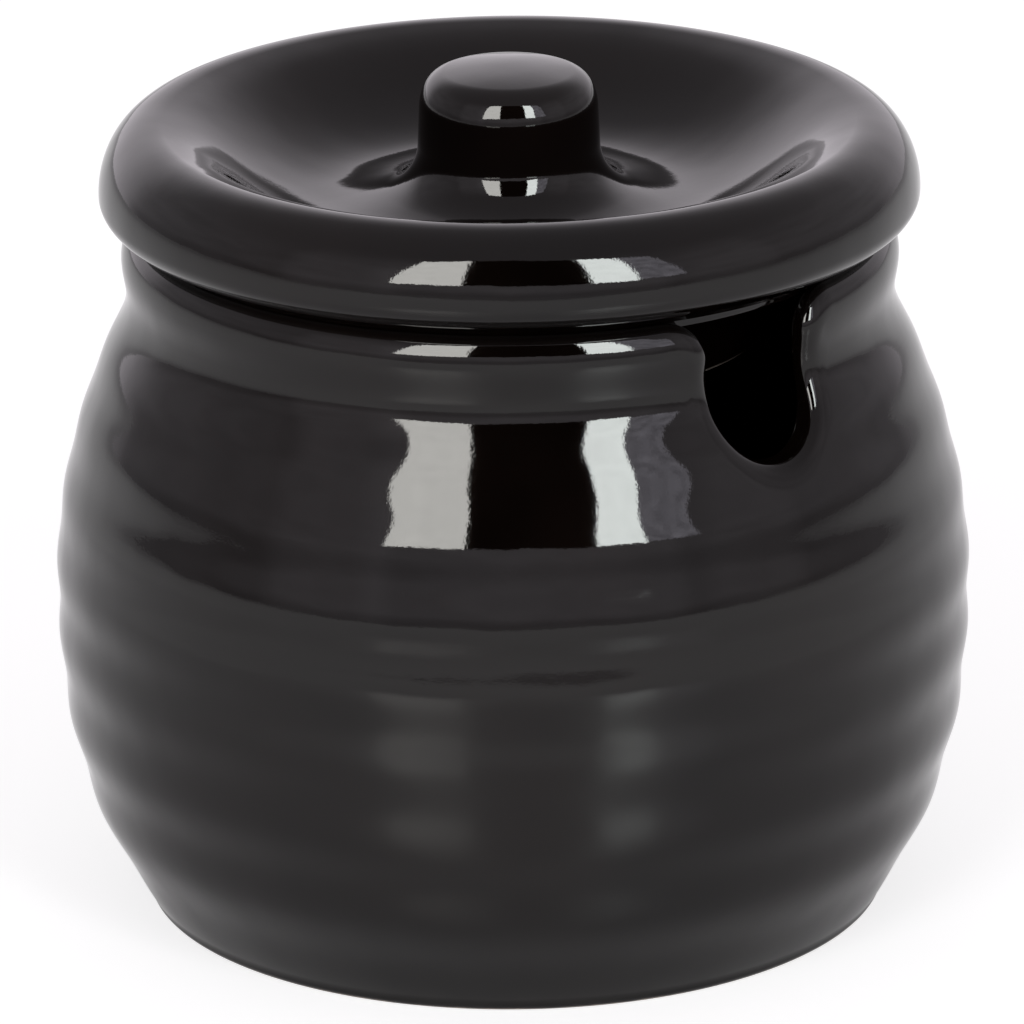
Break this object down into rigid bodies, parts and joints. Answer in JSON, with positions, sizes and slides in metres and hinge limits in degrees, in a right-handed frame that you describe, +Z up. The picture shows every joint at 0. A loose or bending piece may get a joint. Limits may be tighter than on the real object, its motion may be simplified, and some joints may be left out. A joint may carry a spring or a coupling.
{
  "type": "lidded condiment jar",
  "caption": "Round bellied glazed stoneware condiment jar with faint throwing rings, a spoon notch in its lip, and a lift-off dished lid with a rolled rim and a stub knob.",
  "frame": {"origin": "centre of the foot ring, on the surface the jar stands on", "axes": "+Z up along the turning axis, towards the knob; -Y towards the spoon notch"},
  "size_m": [0.086, 0.086, 0.0805],
  "materials": {
    "black_glaze": "gloss"
  },
  "bodies": {
    "jar": {"jar": "black_glaze"},
    "lid": {"lid": "black_glaze"}
  },
  "joints": [
    {"name": "lid_lift", "type": "slide", "parent": "jar", "child": "lid", "axis": [0, 0, 1], "range_m": [0, 0.08]}
  ]
}
